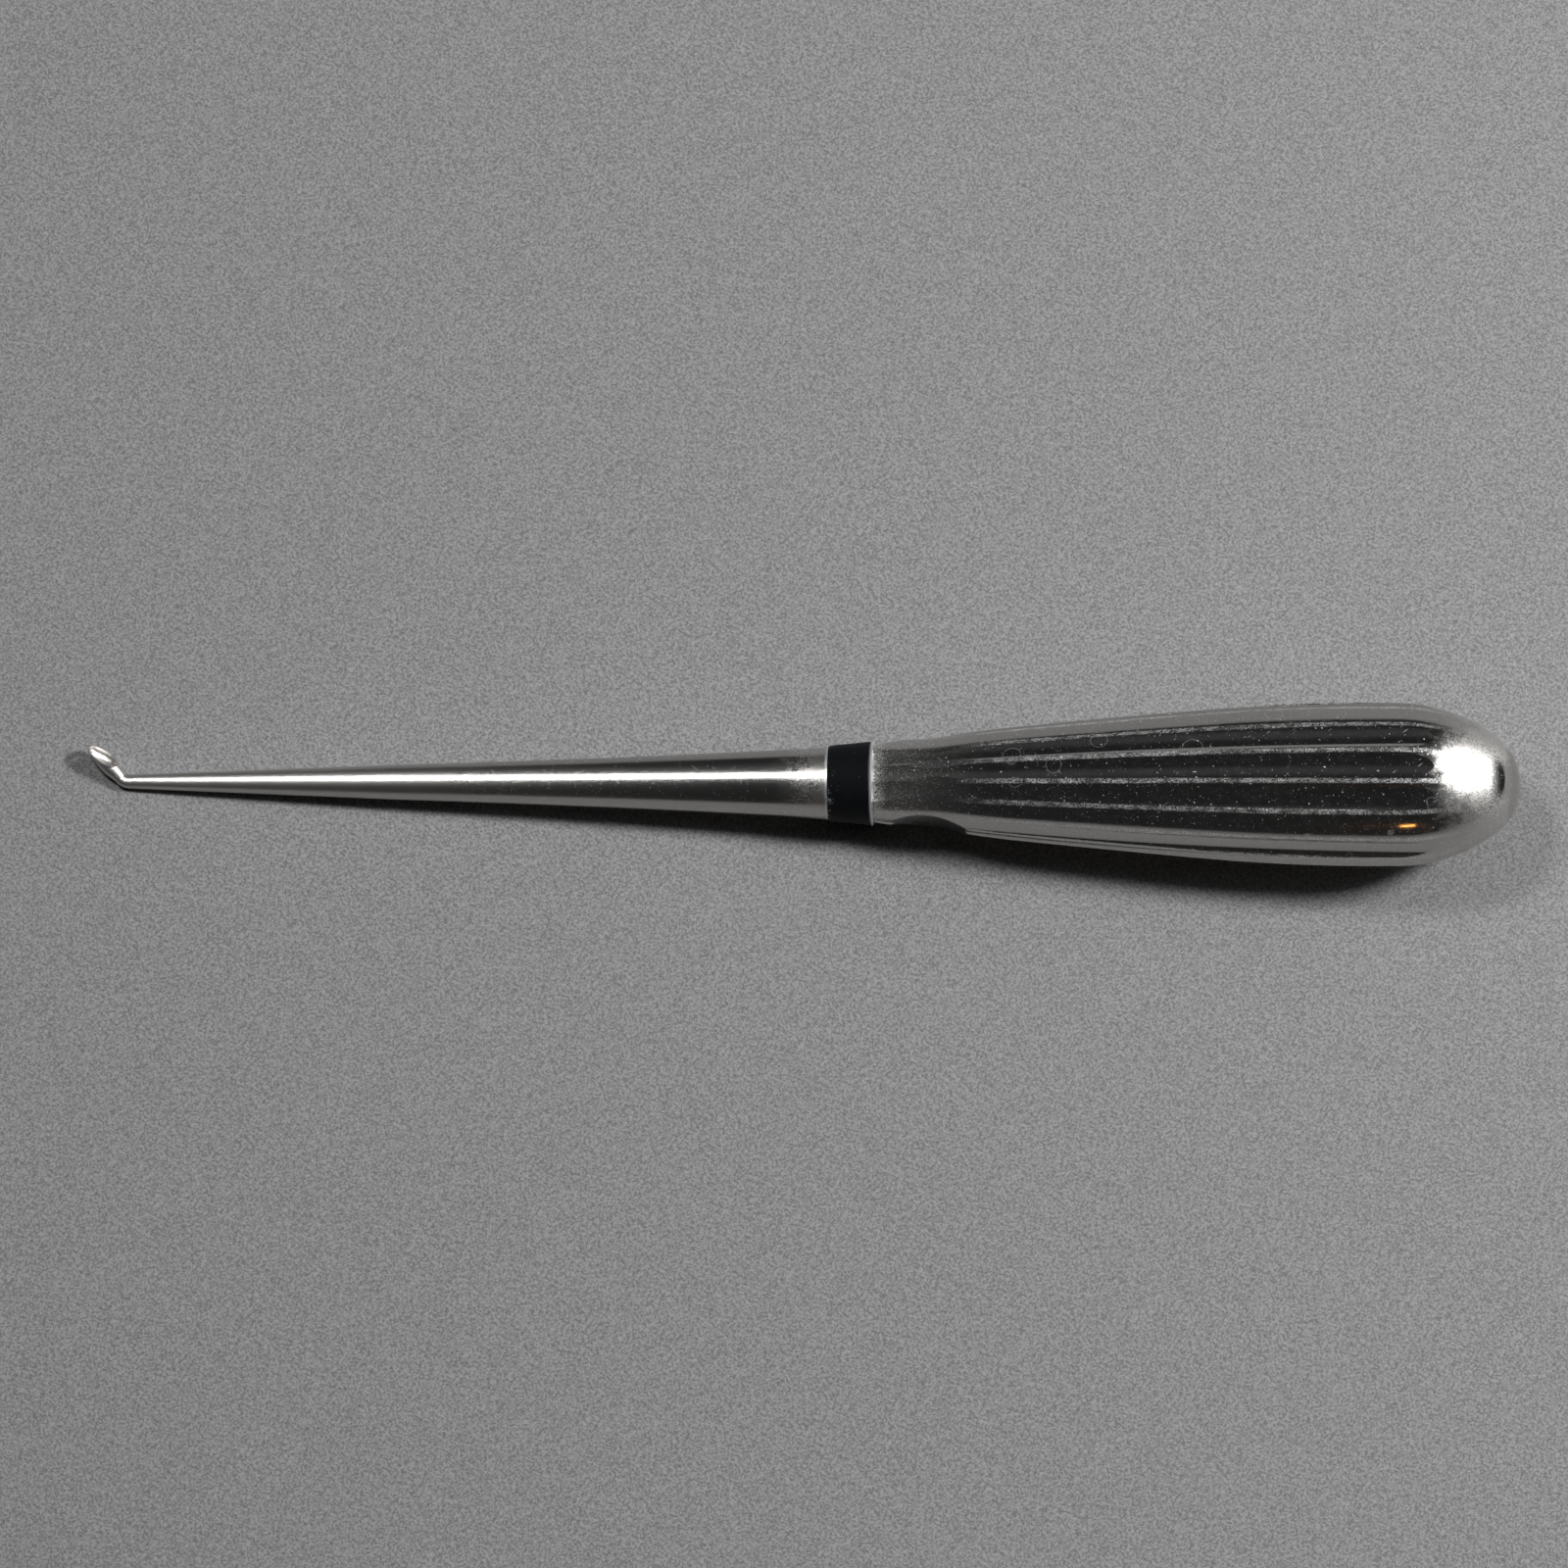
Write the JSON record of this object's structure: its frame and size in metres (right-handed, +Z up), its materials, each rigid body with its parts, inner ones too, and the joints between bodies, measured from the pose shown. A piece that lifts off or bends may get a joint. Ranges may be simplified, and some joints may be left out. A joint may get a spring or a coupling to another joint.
{
  "type": "spinal curette",
  "caption": "Hand instrument with a tapered shank, a bent neck ending in a small scraping cup, a tape ring and a hollow fluted steel handle.",
  "frame": {"origin": "bottom centre of the instrument's box as it lies on its heel and its handle's belly", "axes": "+X from the cup's tip to the handle's butt, +Y away from the viewer of the picture, +Z up"},
  "size_m": [0.2156, 0.0242, 0.0249],
  "materials": {
    "shaft_with_cup": "polished stainless steel",
    "handle_shell": "polished stainless steel with fine scratches",
    "marking_tape": "semi-matt black film"
  },
  "bodies": {
    "root": {"shaft_with_cup": "shaft_with_cup", "handle_shell": "handle_shell", "marking_tape": "marking_tape"}
  },
  "joints": []
}
